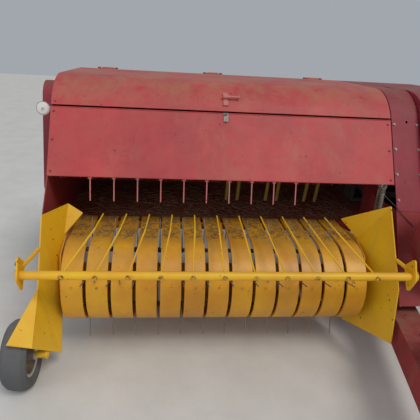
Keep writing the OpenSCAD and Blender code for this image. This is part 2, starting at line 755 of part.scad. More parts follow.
module flywheel() {
    y0 = fly_y - fly_w / 2;
    color("firebrick") difference() {
        translate([case_cx, fly_y, fly_z]) rotate([90, 0, 0]) rotate_extrude($fn = 96) polygon([[30 + fit, -30], [80, -30], [80, -8],
            [fly_r - 60, -8], [fly_r - 60, -fly_w / 2], [fly_r, -fly_w / 2], [fly_r, fly_w / 2], [fly_r - 60, fly_w / 2],
            [fly_r - 60, 12], [80, 12], [80, 50], [30 + fit, 50]]);
        for (a = [0:60:359]) translate([case_cx, y0, fly_z]) rotate([0, a, 0]) translate([150, 0, 0]) rotate([-90, 0, 0])
            cylinder(r = 40, h = fly_w);
    }
    // slip clutch and the input yoke on the front
    color("dimgray") {
        disc_y(fly_y - 74, fly_y - 50, case_cx, fly_z, 110);
        disc_y(fly_y - 110, fly_y - 74, case_cx, fly_z, 60);
        for (s = [-1, 1]) block([case_cx + s * 44 - 10, fly_y - 165, fly_z - 26], [case_cx + s * 44 + 10, fly_y - 108, fly_z + 26]);
    }
}

module driveline() {
    z = tongue_z + tongue_h + 110;
    rear = -1080;
    front = -2620;
    on_tongue() {
        color([0.15, 0.15, 0.15]) {
            disc_y(front + 140, rear - 140, 0, z, 36);
            for (y = [front + 120, rear - 200]) disc_y(y, y + 80, 0, z, 58);
        }
        color("dimgray") {
            for (s = [-1, 1]) {
                block([s * 40 - 9, rear - 130, z - 24], [s * 40 + 9, rear - 40, z + 24]);
                block([s * 40 - 9, front + 30, z - 24], [s * 40 + 9, front + 125, z + 24]);
            }
            disc_y(rear - 141, rear - 120, 0, z, 48);
            disc_y(front + 119, front + 141, 0, z, 48);
            difference() {
                disc_y(front - 60, front + 40, 0, z, 34);
                disc_y(front - 61, front + 20, 0, z, pto_r);
            }
        }
    }
}

// Places its children along the tongue, with the pivot at the origin and the hitch at -Y.
module on_tongue() {
    translate([pivot[0], pivot[1], 0]) rotate([0, 0, -tongue_a]) children();
}

module tongue() {
    wall = 9;
    z1 = tongue_z + tongue_h;
    mid = (tongue_z + z1) / 2;
    color("firebrick") on_tongue() {
        difference() {
            union() {
                difference() {
                    block([-tongue_w / 2, -tongue_len + 90, tongue_z], [tongue_w / 2, tongue_foot, z1]);
                    block([-tongue_w / 2 + wall, -tongue_len + 99, tongue_z + wall], [tongue_w / 2 - wall, tongue_foot - 20, z1 - wall]);
                }
                translate([0, 0, tongue_z]) cylinder(r = 42, h = tongue_h);
                for (z = [mid - 55, mid + 35]) block([-hitch_ear, -tongue_len, z], [hitch_ear, -tongue_len + 100, z + 20]);
                for (z = [mid - 55, mid + 35]) translate([0, -tongue_len, z]) cylinder(r = hitch_ear, h = 20);
            }
            translate([0, 0, tongue_z - 1]) cylinder(r = 25 + fit, h = tongue_h + 2);
            translate([0, -tongue_len, tongue_z]) cylinder(r = hitch_r, h = tongue_h);
        }
        // cradles that carry the driveline
        for (y = [-2300, -1420]) difference() {
            block([-46, y, z1 - 1], [46, y + 12, z1 + 112]);
            disc_y(y - 1, y + 13, 0, z1 + 110, 36 + seat);
        }
        block([-tongue_w / 2 - 34, jack_at - 60, tongue_z + 30], [-tongue_w / 2 + 1, jack_at + 60, z1 - 30]);
    }
}

module jack() {
    x = -tongue_w / 2 - 34 - 33;
    foot = 10;
    color("silver") on_tongue() {
        translate([x, jack_at, 170]) cylinder(r = 33, h = 480);
        translate([x, jack_at, foot - 1]) cylinder(r = 26, h = 200);
        translate([x, jack_at, 0]) rotate_extrude() polygon([[0, 0], [85, 0], [85, 6], [60, foot + 4], [0, foot + 4]]);
        translate([x, jack_at, 649]) cylinder(r = 38, h = 40);
        disc_x(x, x + 120, jack_at, 670, 9);
        translate([x + 112, jack_at, 662]) cylinder(r = 9, h = 90);
    }
}

module knotter_frame() {
    z = roof_z + case_t + seat;
    side = [[knot_y - 180, z], [knot_y + 150, z], [knot_y + 110, z + 90], [knot_y, z + 250], [knot_y - 120, z + 250], [knot_y - 200, z + 110]];
    color("firebrick") {
        for (x = [case_x0 - 6, case_x1 - 6]) along_x(x, x + 12) difference() {
            polygon(side);
            translate([knot_y - 60, z + 190]) circle(r = knot_shaft);
            translate([knot_y - 30, z + 75]) circle(r = 38);
        }
        block([case_x0 - 5, knot_y - 196, z + 50], [case_x1 + 5, knot_y - 184, z + 106]);
        block([case_x0 - 5, knot_y + 40, z + 1], [case_x1 + 5, knot_y + 65, z + 30]);
        // arms and pin of the measuring wheel
        for (x = [case_cx - 60, case_cx + 52]) along_x(x, x + 8) hull() {
            translate([meter_y, meter_z]) circle(r = 17, $fn = 32);
            translate([knot_y + 52, z + 20]) circle(r = 14, $fn = 32);
        }
        disc_x(case_cx - 56, case_cx + 56, meter_y, meter_z, 10);
    }
}

// One knotter: cam gear with its lobes, twine disc, bill hook, frame and stripper arm.
module knotter(x) {
    z = roof_z + case_t + seat + 190;
    y = knot_y - 60;
    difference() {
        union() {
            translate([x, y, z]) rotate([0, 90, 0]) rotate_extrude($fn = 64) polygon([[0, -26], [34, -26], [34, -8], [96, -8],
                [96, -16], [112, -16], [112, 6], [34, 6], [34, 26], [0, 26]]);
            for (a = [200:12:320]) translate([x + 6, y, z]) rotate([a, 0, 0]) block([-12, -5, 110], [0, 5, 120]);
        }
        for (a = [20, 140, 260]) translate([x - 9, y, z]) rotate([a, 0, 0]) translate([0, 0, 64]) rotate([0, 90, 0])
            cylinder(r = 16, h = 20);
    }
    // the frame that hangs from the shaft beside the gear
    along_x(x + 28, x + 44) difference() {
        hull() {
            translate([y, z]) circle(r = 34, $fn = 32);
            translate([y + 75, z - 120]) circle(r = 20, $fn = 32);
        }
        translate([y + 42, z - 66]) circle(r = 14);
    }
    bar([x + 40, y + 75, z - 120], [x - 10, y + 75, z - 120], 22);
    for (k = [0:2]) disc_x(x - 22 + k * 12, x - 14 + k * 12, y + 75, z - 120, 34);
    bar([x + 22, y + 75, z - 118], [x + 22, y + 20, z - 160], 12);
    bar([x + 22, y + 20, z - 160], [x - 10, y - 4, z - 166], 9);
    bar([x + 36, y + 10, z - 30], [x + 36, y - 70, z - 128], 14);
    bar([x + 36, y - 70, z - 128], [x - 4, y - 40, z - 150], 12);
}

module knotters() {
    z = roof_z + case_t + seat + 190;
    y = knot_y - 60;
    color("silver") {
        disc_x(case_x0 - 70, case_x1 + 60, y, z, knot_shaft - fit);
        for (x = [case_cx - 110, case_cx + 110]) knotter(x);
        translate([case_x1 + 34, y, z]) rotate([0, 90, 0]) rotate_extrude($fn = 64) polygon([[0, -24], [40, -24], [40, -6], [96, -6],
            [96, -16], [110, -16], [110, 16], [96, 16], [96, 6], [40, 6], [40, 24], [0, 24]]);
    }
}

module needles() {
    pivot_y = 1480;
    pivot_z = 700;
    r = 382;
    low = -78;
    d = 20;
    bar_p = [pivot_y + r * cos(low), pivot_z + r * sin(low)];
    color("firebrick") {
        for (x = [case_cx - 110, case_cx + 110])
            translate([x, pivot_y, pivot_z]) rotate([90, 0, 90]) rotate([0, 0, low]) rotate_extrude(angle = -10 - low, $fn = 64)
                translate([r, 0]) square([16, d], center = true);
        disc_x(case_x0 - 66, case_x1 + 66, bar_p[0], bar_p[1], 22);
        for (x = [case_x0 - 66, case_x1 + 54]) along_x(x, x + 12) hull() {
            translate([pivot_y, pivot_z]) circle(r = 30, $fn = 32);
            translate(bar_p) circle(r = 24, $fn = 32);
        }
    }
    color("dimgray") for (p = [[case_x0 - 70, case_x0 - case_t - seat], [case_x1 + case_t + seat, case_x1 + 70]])
        disc_x(p[0], p[1], pivot_y, pivot_z, 15);
}

module meter_wheel() {
    teeth = 16;
    step = 360 / teeth;
    color("silver") translate([case_cx, meter_y, meter_z]) rotate([90, 0, 90]) {
        translate([0, 0, -5]) linear_extrude(10) difference() {
            polygon([for (k = [0:teeth - 1]) for (p = [[124, 0], [100, 0.28], [100, 0.72]])
                [p[0] * cos((k + p[1]) * step), p[0] * sin((k + p[1]) * step)]]);
            circle(r = 10 + fit);
            for (a = [0:72:359]) translate([62 * cos(a), 62 * sin(a)]) circle(r = 20);
        }
        for (z = [-20, 5]) translate([0, 0, z]) linear_extrude(15) difference() {
            circle(r = 26);
            circle(r = 10 + fit);
        }
    }
}

module tension_rails() {
    z = roof_z + case_t + seat;
    rib = 28;
    color("firebrick") {
        for (x = [case_cx - 190, case_cx + 150]) {
            block([x, 2368, z], [x + 40, 2592, z + 6]);
            block([x, 2368, z], [x + 6, 2592, z + 40]);
        }
        for (z0 = [z + rib + 16, floor_z - case_t - rib - 60]) difference() {
            block([case_x0 - 90, 2650, z0], [case_x1 + 90, 2700, z0 + 40]);
            block([case_x0 - 91, 2656, z0 + 6], [case_x1 + 91, 2694, z0 + 41]);
            for (s = [-1, 1]) translate([case_cx + s * (case_w / 2 + 68), 2675, z0 - 1]) cylinder(r = 11 + seat, h = 8);
        }
        for (x = [case_cx - 190, case_cx + 150]) block([x, 2656, z], [x + 40, 2694, z + rib + 24]);
        for (x = [case_cx - 165, case_cx + 125])
            block([x, 2656, floor_z - case_t - rib - 40], [x + 40, 2694, floor_z - case_t - seat]);
    }
}

// A closed coil spring of n turns, from z 0 upwards.
module coil(r0, r1, r2, n, pitch) {
    rotate_extrude() polygon(concat([[r0, 0]], [for (k = [0:n - 1]) for (q = [[r1, 0], [r2, 0.3], [r2, 0.7]])
        [q[0], (k + q[1]) * pitch]], [[r1, n * pitch], [r0, n * pitch]]));
}

module tension_screws() {
    y = 2675;
    z0 = floor_z - case_t - 100;
    z1 = roof_z + case_t + 260;
    color("silver") for (s = [-1, 1]) {
        x = case_cx + s * (case_w / 2 + 68);
        translate([x, y, z0]) cylinder(d = 22, h = z1 - z0);
        translate([x, y, z0 - 8 - seat]) cylinder(d = 44, h = 20, $fn = 6);
        translate([x, y, roof_z + case_t + 91.6]) coil(14, 22, 27, 9, 14.5);
        translate([x, y, roof_z + case_t + 84.6]) cylinder(d = 60, h = 8);
        translate([x, y, roof_z + case_t + 221.1]) cylinder(d = 60, h = 10);
        bar([x, y, z1 - 12], [x + s * 90, y, z1 - 12], 16);
        bar([x + s * 82, y, z1 - 16], [x + s * 82, y, z1 + 70], 18);
    }
}

module bale_chute() {
    y0 = case_end + 18;
    half = case_w / 2 - 4;
    color("firebrick") {
        difference() {
            union() {
                block([case_cx - half, y0 + 22, chute_z - 5], [case_cx + half, rear_end, chute_z]);
                for (s = [-1, 1]) block([case_cx + s * half - 3, y0 + 22, chute_z - 45], [case_cx + s * half + 3, rear_end - 8, chute_z]);
                block([case_cx - half, rear_end - 14, chute_z - 40], [case_cx + half, rear_end - 8, chute_z]);
                for (x = [case_cx - 150, case_cx + 110]) {
                    disc_x(x, x + 40, y0, chute_z, 14);
                    block([x, y0, chute_z - 14], [x + 40, y0 + 40, chute_z]);
                }
            }
            for (x = [-160, 0, 160]) block([case_cx + x - 50, y0 + 90, chute_z - 6], [case_cx + x + 50, rear_end - 90, chute_z + 1]);
            disc_x(case_cx - 151, case_cx + 151, y0, chute_z, 8 + fit);
        }
    }
}

module twine_box() {
    t = 5;
    a = [twine_x, 1580, 600];
    b = [left_face, 2280, twine_z];
    color("firebrick") {
        difference() {
            block(a, b);
            block(a + [t, t, t], b + [-t, -t, 1]);
            translate([a[0] - 1, a[1] + 90, 960]) rotate([0, 90, 0]) cylinder(r = 14, h = 20);
        }
        block([a[0] + t - 1, 1930, a[2] + t - 1], [b[0] - t + 1, 1930 + t, b[2] - 60]);
        for (y = [1600, 2040]) block([case_x1 + case_t + 28 + seat, y, 700], [a[0] + 1, y + 40, 740]);
        // lugs and hinge pin of the lid
        for (y = [1700, 2100]) {
            disc_y(y, y + 110, twine_x - 12, twine_z + 6, 6);
            for (k = [y, y + 90]) {
                disc_y(k, k + 20, twine_x - 12, twine_z + 6, 12);
                block([twine_x - 24, k, twine_z - 40], [twine_x + 1, k + 20, twine_z + 6]);
            }
        }
    }
}

module twine_lid() {
    t = 5;
    z = twine_z + gap;
    color("firebrick") difference() {
        union() {
            block([twine_x + 2, 1572, z], [left_face, 2288, z + t]);
            for (y = [1726, 2126]) {
                disc_y(y, y + 58, twine_x - 12, twine_z + 6, 12);
                block([twine_x - 12, y, z], [twine_x + 20, y + 58, z + t]);
            }
            for (x = [1700, 1780]) block([x, 1640, z + t - 1], [x + 24, 2220, z + t + 10]);
        }
        for (y = [1726, 2126]) disc_y(y - 1, y + 59, twine_x - 12, twine_z + 6, 6 + fit);
    }
}

module lift_spring() {
    p = [940, 70];
    color("firebrick") {
        block([918, p[1] + 16, 850], [965, p[1] + 22, lip[1] - seat]);
        block([918, p[1] + 16, lip[1] - 8], [965, p[1] + 40, lip[1] - seat]);
    }
    color("silver") {
        bar([p[0], p[1] + 18, 985], [p[0], p[1] - 2, 985], 10);
        bar([p[0], p[1] - 2, 990], [p[0], p[1] - 2, 850], 9);
        translate([p[0], p[1] - 2, 868]) coil(4, 11, 14, 10, 9);
    }
}

translate(origin) bale_case();
translate(origin) plunger();
translate(origin) case_front_cover();
translate(origin) gearbox_cover();
translate(origin) front_frame();
translate(origin) gearbox();
translate(origin) feeder_box();
translate(origin) feeder_front_panel();
translate(origin) hang_rods();
translate(origin) feeder_fork();
translate(origin) drive_guard();
translate(origin) reflector();
translate(origin) axle();
translate(origin) feeder_lid();
translate(origin) lid_latch();
translate(origin) main_tyre(right_cx);  // right_tyre
translate(origin) main_rim(right_cx);  // right_rim
translate(origin) main_tyre(left_cx);  // left_tyre
translate(origin) main_rim(left_cx);  // left_rim
translate(origin) pickup_frame();
translate(origin) strippers();
translate(origin) flare_outer();
translate(origin) flare_inner();
translate(origin) guard_arms();
translate(origin) windguard_tube();
translate(origin) windguard_rods();
translate(origin) reel_shaft();
translate(origin) reel_tines();
translate(origin) gauge_bracket();
translate(origin) gauge_tyre();
translate(origin) gauge_rim();
translate(origin) flywheel();
translate(origin) driveline();
translate(origin) tongue();
translate(origin) jack();
translate(origin) knotter_frame();
translate(origin) knotters();
translate(origin) needles();
translate(origin) meter_wheel();
translate(origin) tension_rails();
translate(origin) tension_screws();
translate(origin) bale_chute();
translate(origin) twine_box();
translate(origin) twine_lid();
translate(origin) lift_spring();
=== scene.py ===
import math
import random
import bpy
import bmesh
from mathutils import Matrix, Vector


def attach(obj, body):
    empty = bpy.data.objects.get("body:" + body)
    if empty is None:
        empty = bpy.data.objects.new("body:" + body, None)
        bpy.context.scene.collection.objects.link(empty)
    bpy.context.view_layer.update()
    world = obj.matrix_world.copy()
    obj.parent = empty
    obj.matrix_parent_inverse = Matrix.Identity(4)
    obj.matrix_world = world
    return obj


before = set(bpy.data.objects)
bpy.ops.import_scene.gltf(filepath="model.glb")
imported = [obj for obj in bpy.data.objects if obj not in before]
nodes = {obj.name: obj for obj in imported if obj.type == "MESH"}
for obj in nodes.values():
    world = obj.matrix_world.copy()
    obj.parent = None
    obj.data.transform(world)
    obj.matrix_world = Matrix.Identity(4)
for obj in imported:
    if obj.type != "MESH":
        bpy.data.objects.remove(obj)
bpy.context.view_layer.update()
scene = bpy.context.scene

# Places are in the source's millimetres: x from the pickup's centre, y from the reel axis, z from the ground.
# Radii of wires and bolts are in metres. The shift leads to the row frame.
SHIFT_X = -340.0
SHIFT_Y = -404.2269

# pickup and reel
BAND_COUNT = 13
BAND_PITCH = 125
BAND_R = 225
REEL_Z = 455
BAND_TOP = REEL_Z + BAND_R
TINE_ROWS = 4
TINES_A_ROW = BAND_COUNT - 1
REEL_LEAD = 64
REEL_BAR_AT = 150

# windguard
TUBE_Y = -377
TUBE_Z = 672
GUARD_RODS = 11
ROD_PITCH = 150
END_PLATE_FACE = 940.2

# feeder housing: its lip, its seam and the height of the flat top
LIP_Y, LIP_Z = 80.0, 1007.0
SEAM_Y, SEAM_Z = 273.0, 1352.0
SLOPE = (SEAM_Y - LIP_Y) / (SEAM_Z - LIP_Z)
SLOPE_LEN = math.sqrt(1 + SLOPE * SLOPE)
HOUSING_X0, HOUSING_X1 = -908, 1005
GEARBOX_COVER_AHEAD = 62
TABLE_Z = 662

# bale case, gearbox and flywheel
CASE_X = 1300
CASE_HALF = 228.5
FLY_Z = 800

# wheels
AXLE_Y = 1130
AXLE_Z = 355
TREAD_R = 0.3530
TREAD_DEEP = 0.0018
GAUGE_X, GAUGE_Y, GAUGE_Z = -992, -298, 175

X = Vector((1, 0, 0))
Y = Vector((0, 1, 0))
OUT = Vector((0, -1 / SLOPE_LEN, SLOPE / SLOPE_LEN))


def P(x, y, z):
    """The point of the row frame, in metres, for a point in the source's millimetres."""
    return Vector(((x + SHIFT_X) / 1000, (y + SHIFT_Y) / 1000, z / 1000))


def on_slope(x, z, lift=0.0, ahead=0.0):
    """A point on the housing's sloped front, or that far ahead of it, lifted along the face's normal."""
    return P(x, LIP_Y + (z - LIP_Z) * SLOPE - ahead, z) + OUT * lift


def spoke(r, degrees):
    """The two coordinates of a point on a circle."""
    a = math.radians(degrees)
    return r * math.cos(a), r * math.sin(a)


def circle_yz(x, y, z, r, steps):
    """The points of a closed circle about the X axis."""
    turns = (spoke(r, 360 * k / steps) for k in range(steps + 1))
    return [P(x, y + a, z + b) for a, b in turns]


def circle_xz(x, y, z, r, steps):
    """The points of a closed circle about the Y axis."""
    turns = (spoke(r, 360 * k / steps) for k in range(steps + 1))
    return [P(x + a, y, z + b) for a, b in turns]


# camera, solved from the pickup's bands
FOCAL_PX = 431.3
PHOTO_PX = 420
SENSOR_MM = 36
CAMERA_AT = (-0.620, -2.566227, 1.678)
CAMERA_RIGHT = (0.9948, -0.0870, 0.0539)
CAMERA_AHEAD = (0.1005, 0.9310, -0.3510)


def make_camera():
    data = bpy.data.cameras.new("camera")
    data.lens = FOCAL_PX / PHOTO_PX * SENSOR_MM
    data.sensor_width = SENSOR_MM
    data.clip_start = 0.05
    data.clip_end = 60
    cam = bpy.data.objects.new("camera", data)
    scene.collection.objects.link(cam)
    ahead = Vector(CAMERA_AHEAD).normalized()
    up = Vector(CAMERA_RIGHT).normalized().cross(ahead).normalized()
    right = ahead.cross(up).normalized()
    basis = Matrix((right, up, -ahead)).transposed().to_4x4()
    cam.matrix_world = Matrix.Translation(CAMERA_AT) @ basis
    scene.camera = cam
    scene.view_settings.view_transform = "Standard"


def make_sky():
    world = bpy.data.worlds.new("sky")
    world.use_nodes = True
    background = world.node_tree.nodes["Background"]
    background.inputs[0].default_value = (0.86, 0.92, 1.0, 1)
    background.inputs[1].default_value = 0.42
    scene.world = world


def light(kind, name, place, aim, energy, size, colour):
    """A lamp at place that looks at aim. size is an area lamp's side in metres, or the sun's angle."""
    data = bpy.data.lights.new(name, kind)
    data.energy = energy
    data.color = colour
    if kind == "AREA":
        data.size = size
    else:
        data.angle = size
    obj = bpy.data.objects.new(name, data)
    obj.location = place
    obj.rotation_euler = (Vector(aim) - Vector(place)).to_track_quat("-Z", "Y").to_euler()
    scene.collection.objects.link(obj)


make_camera()
make_sky()
light("SUN", "sun", (2.5, -4.0, 6.5), (0, 0, 0.5), 1.25, 0.35, (1.0, 0.96, 0.9))
light("AREA", "fill", (-4.5, -5.0, 3.2), (0, -0.3, 0.8), 75, 4.0, (0.9, 0.95, 1.0))


# node-based materials, all procedural and in object coordinates
BLACK = (0, 0, 0, 1)
WHITE = (1, 1, 1, 1)


def opaque(rgb):
    return (*rgb, 1)


def grey(level):
    return (level, level, level, 1)


def new_material(name):
    mat = bpy.data.materials.new(name)
    mat.use_nodes = True
    tree = mat.node_tree
    return mat, tree, tree.nodes["Principled BSDF"]


def object_coords(tree):
    return tree.nodes.new("ShaderNodeTexCoord").outputs["Object"]


def noise(tree, coords, scale, detail=5.0, rough=0.6, stretch=None):
    n = tree.nodes.new("ShaderNodeTexNoise")
    n.inputs["Scale"].default_value = scale
    n.inputs["Detail"].default_value = detail
    n.inputs["Roughness"].default_value = rough
    if stretch:
        m = tree.nodes.new("ShaderNodeMapping")
        m.inputs["Scale"].default_value = stretch
        tree.links.new(coords, m.inputs["Vector"])
        coords = m.outputs["Vector"]
    tree.links.new(coords, n.inputs["Vector"])
    return n.outputs["Fac"]


def ramp(tree, fac, low, high, a=BLACK, b=WHITE):
    r = tree.nodes.new("ShaderNodeValToRGB")
    r.color_ramp.elements[0].position = low
    r.color_ramp.elements[0].color = a
    r.color_ramp.elements[1].position = high
    r.color_ramp.elements[1].color = b
    tree.links.new(fac, r.inputs["Fac"])
    return r.outputs["Color"]


def mix(tree, fac, a, b):
    """Colour a where fac is 0 and colour b where it is 1. Each may be a value or a socket."""
    m = tree.nodes.new("ShaderNodeMix")
    m.data_type = "RGBA"
    for value, socket in ((fac, m.inputs[0]), (a, m.inputs[6]), (b, m.inputs[7])):
        if isinstance(value, tuple):
            socket.default_value = value
        else:
            tree.links.new(value, socket)
    return m.outputs[2]


def upness(tree):
    """How far the surface faces upwards, from -1 to 1."""
    geo = tree.nodes.new("ShaderNodeNewGeometry")
    sep = tree.nodes.new("ShaderNodeSeparateXYZ")
    tree.links.new(geo.outputs["Normal"], sep.inputs[0])
    return sep.outputs["Z"]


def product(tree, a, b):
    m = tree.nodes.new("ShaderNodeMath")
    m.operation = "MULTIPLY"
    tree.links.new(a, m.inputs[0])
    tree.links.new(b, m.inputs[1])
    return m.outputs[0]


def worn(name, base, shade, dust, rust, dusty=0.5, rusty=0.5, rough=0.6, metal=0.0, grain=1.0):
    """Worn paint or metal: two tones, streaks, dust on the upper faces and rust specks."""
    mat, tree, bsdf = new_material(name)
    coords = object_coords(tree)
    base, shade, dust, rust = (opaque(c) for c in (base, shade, dust, rust))
    tones = noise(tree, coords, 2.6 * grain, 6, 0.65)
    colour = mix(tree, ramp(tree, tones, 0.35, 0.66), base, shade)
    streaks = noise(tree, coords, 5.0 * grain, 6, 0.7, (1.0, 1.0, 0.18))
    colour = mix(tree, ramp(tree, streaks, 0.52, 0.78, BLACK, grey(0.55)), colour, dust)
    facing = ramp(tree, upness(tree), 0.35, 1.0, BLACK, grey(dusty))
    patches = ramp(tree, noise(tree, coords, 7.0 * grain, 8, 0.75), 0.36, 0.62)
    colour = mix(tree, product(tree, facing, patches), colour, dust)
    specks = noise(tree, coords, 46.0 * grain, 4, 0.55)
    level = 0.72 - 0.10 * rusty
    colour = mix(tree, ramp(tree, specks, level, level + 0.035), colour, rust)
    blots = noise(tree, coords, 9.0 * grain, 9, 0.8)
    level = 0.70 - 0.09 * rusty
    colour = mix(tree, ramp(tree, blots, level, level + 0.06, BLACK, grey(0.8)), colour, rust)
    tree.links.new(colour, bsdf.inputs["Base Color"])
    bsdf.inputs["Roughness"].default_value = rough
    bsdf.inputs["Metallic"].default_value = metal
    bump = tree.nodes.new("ShaderNodeBump")
    bump.inputs["Strength"].default_value = 0.12
    bump.inputs["Distance"].default_value = 0.004
    tree.links.new(noise(tree, coords, 30.0 * grain, 6, 0.6), bump.inputs["Height"])
    tree.links.new(bump.outputs["Normal"], bsdf.inputs["Normal"])
    return mat


RUST = (0.075, 0.030, 0.016)
HAY = (0.33, 0.22, 0.11)

# name: base, shade, dust and rust colour, then dusty, rusty, rough, metal and grain as worn() takes them
FINISHES = {
    "hood_red": ((0.56, 0.050, 0.055), (0.40, 0.030, 0.042), (0.42, 0.17, 0.10), (0.10, 0.022, 0.018),
        0.9, 0.30, 0.55),
    "old_red": ((0.36, 0.030, 0.032), (0.23, 0.020, 0.024), (0.28, 0.15, 0.10), RUST, 0.75, 0.6, 0.68),
    "casing_red": ((0.33, 0.022, 0.040), (0.21, 0.014, 0.027), (0.25, 0.12, 0.09), RUST, 0.6, 0.55, 0.6),
    "bright_yellow": ((0.88, 0.52, 0.012), (0.80, 0.40, 0.010), (0.55, 0.33, 0.07), (0.14, 0.055, 0.015),
        0.3, 0.45, 0.45),
    "band_yellow": ((0.80, 0.40, 0.012), (0.62, 0.25, 0.008), (0.42, 0.22, 0.06), (0.14, 0.05, 0.012),
        0.7, 0.30, 0.42),
    "rusty_yellow": ((0.70, 0.40, 0.02), (0.45, 0.22, 0.02), (0.40, 0.22, 0.06), (0.10, 0.04, 0.015),
        0.3, 1.6, 0.6, 0.0, 2.5),
    "dull_yellow": ((0.50, 0.35, 0.05), (0.38, 0.24, 0.04), (0.34, 0.22, 0.11), RUST, 0.8, 0.9, 0.7),
    "steel": ((0.30, 0.27, 0.24), (0.20, 0.17, 0.15), HAY, RUST, 0.4, 0.9, 0.5, 0.75),
    "bright_steel": ((0.62, 0.60, 0.57), (0.45, 0.43, 0.41), HAY, RUST, 0.2, 0.4, 0.35, 0.9),
    "cast": ((0.13, 0.12, 0.11), (0.085, 0.075, 0.07), HAY, RUST, 0.6, 0.6, 0.7, 0.35),
    "rubber": ((0.022, 0.022, 0.023), (0.035, 0.033, 0.031), (0.16, 0.13, 0.10), (0.05, 0.045, 0.04),
        0.5, 0.1, 0.85),
    "gauge_rubber": ((0.12, 0.12, 0.125), (0.08, 0.08, 0.085), (0.28, 0.25, 0.21), (0.06, 0.05, 0.045),
        0.5, 0.1, 0.85),
    "black": ((0.02, 0.02, 0.02), (0.035, 0.035, 0.035), (0.15, 0.12, 0.09), (0.05, 0.04, 0.03),
        0.5, 0.1, 0.5),
    "white": ((0.82, 0.80, 0.77), (0.74, 0.70, 0.66), (0.52, 0.42, 0.34), (0.3, 0.16, 0.12), 0.3, 0.1, 0.45),
    "faded_pink": ((0.62, 0.20, 0.19), (0.50, 0.13, 0.12), (0.45, 0.25, 0.18), RUST, 0.5, 0.6, 0.6),
    "hay": ((0.23, 0.145, 0.065), (0.13, 0.075, 0.035), (0.33, 0.23, 0.11), (0.07, 0.035, 0.02),
        0.5, 0.3, 0.95),
}
FINISH = {name: worn(name, *values) for name, values in FINISHES.items()}

# the CAD nodes of each finish; the others are old_red
NODES_OF = {
    "hood_red": ["feeder_lid", "feeder_front_panel"],
    "casing_red": ["case_front_cover", "gearbox_cover", "drive_guard"],
    "faded_pink": ["lid_latch", "hang_rods"],
    "band_yellow": ["strippers", "pickup_frame"],
    "bright_yellow": ["flare_outer", "flare_inner", "guard_arms", "windguard_tube", "windguard_rods",
        "gauge_bracket", "right_rim", "left_rim"],
    "dull_yellow": ["feeder_fork"],
    "rubber": ["right_tyre", "left_tyre"],
    "gauge_rubber": ["gauge_tyre"],
    "white": ["reflector"],
    "black": ["driveline"],
    "cast": ["plunger", "gearbox"],
    "steel": ["meter_wheel", "knotters", "tension_screws", "lift_spring", "reel_shaft", "reel_tines"],
    "bright_steel": ["gauge_rim", "jack"],
}
finish_of = {node: finish for finish, group in NODES_OF.items() for node in group}
for name, obj in nodes.items():
    mat = FINISH[finish_of.get(name, "old_red")]
    if not obj.material_slots:
        obj.data.materials.append(mat)
    for k in range(len(obj.material_slots)):
        obj.material_slots[k].material = mat


def make_floor():
    bpy.ops.mesh.primitive_plane_add(size=40, location=(0, 0, 0))
    floor = bpy.context.object
    floor.name = "floor"
    mat, tree, bsdf = new_material("floor")
    patches = noise(tree, object_coords(tree), 3.0, 8, 0.7)
    colour = ramp(tree, patches, 0.3, 0.7, (0.62, 0.61, 0.58, 1), (0.72, 0.71, 0.68, 1))
    tree.links.new(colour, bsdf.inputs["Base Color"])
    bsdf.inputs["Roughness"].default_value = 0.95
    floor.data.materials.append(mat)


make_floor()


class Build:
    """Collects simple solids into one mesh object."""

    def __init__(self):
        self.bm = bmesh.new()

    def tube(self, p, q, r, sides=8):
        """A closed round bar from p to q."""
        axis = q - p
        turn = axis.to_track_quat("Z", "Y").to_matrix().to_4x4()
        m = Matrix.Translation((p + q) / 2) @ turn
        bmesh.ops.create_cone(self.bm, cap_ends=True, segments=sides, radius1=r, radius2=r,
            depth=axis.length, matrix=m)

    def block(self, matrix, size):
        """A box of that size about the matrix's origin."""
        bmesh.ops.create_cube(self.bm, size=1.0, matrix=matrix @ Matrix.Diagonal((*size, 1)))

    def bolt(self, place, direction, r=0.009, h=0.007):
        """A hexagon head on a round washer, standing on the face at place."""
        d = direction.normalized()
        seat = place + d * 0.002
        self.tube(place, seat, r * 1.45, 14)
        self.tube(seat, seat + d * h, r, 6)

    def path(self, points, r, sides=6):
        """A chain of round bars through the points."""
        for p, q in zip(points[:-1], points[1:]):
            self.tube(p, q, r, sides)

    def done(self, name, finish, body):
        """Makes the object, which rides on that CAD body and takes that material slot."""
        mesh = bpy.data.meshes.new(name)
        self.bm.to_mesh(mesh)
        self.bm.free()
        obj = bpy.data.objects.new(name, mesh)
        scene.collection.objects.link(obj)
        obj.data.materials.append(FINISH[finish])
        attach(obj, body)


def windguard_bolts():
    """A washer and a head at each rod, and a set screw at both ends of the tube."""
    b = Build()
    for i in range(GUARD_RODS):
        x = (i - (GUARD_RODS - 1) // 2) * ROD_PITCH
        b.tube(P(x, TUBE_Y - 20.5, TUBE_Z), P(x, TUBE_Y - 24.5, TUBE_Z), 0.0125, 18)
        b.tube(P(x, TUBE_Y - 24.5, TUBE_Z), P(x, TUBE_Y - 30.5, TUBE_Z), 0.0095, 12)
    for x in (-944, 956):
        b.tube(P(x, TUBE_Y, TUBE_Z + 26), P(x, TUBE_Y, TUBE_Z + 21), 0.008, 6)
    b.done("windguard_bolts", "rusty_yellow", "windguard")


def end_plate_bolts():
    b = Build()
    for s in (-1, 1):
        for dz in (-48, 52):
            b.bolt(P(s * END_PLATE_FACE, TUBE_Y + 8, TUBE_Z + dz), X * s, 0.010, 0.008)
        b.bolt(P(s * END_PLATE_FACE, TUBE_Y + 47, TUBE_Z + 18), X * s, 0.009, 0.007)
    b.done("end_plate_bolts", "steel", "pickup")


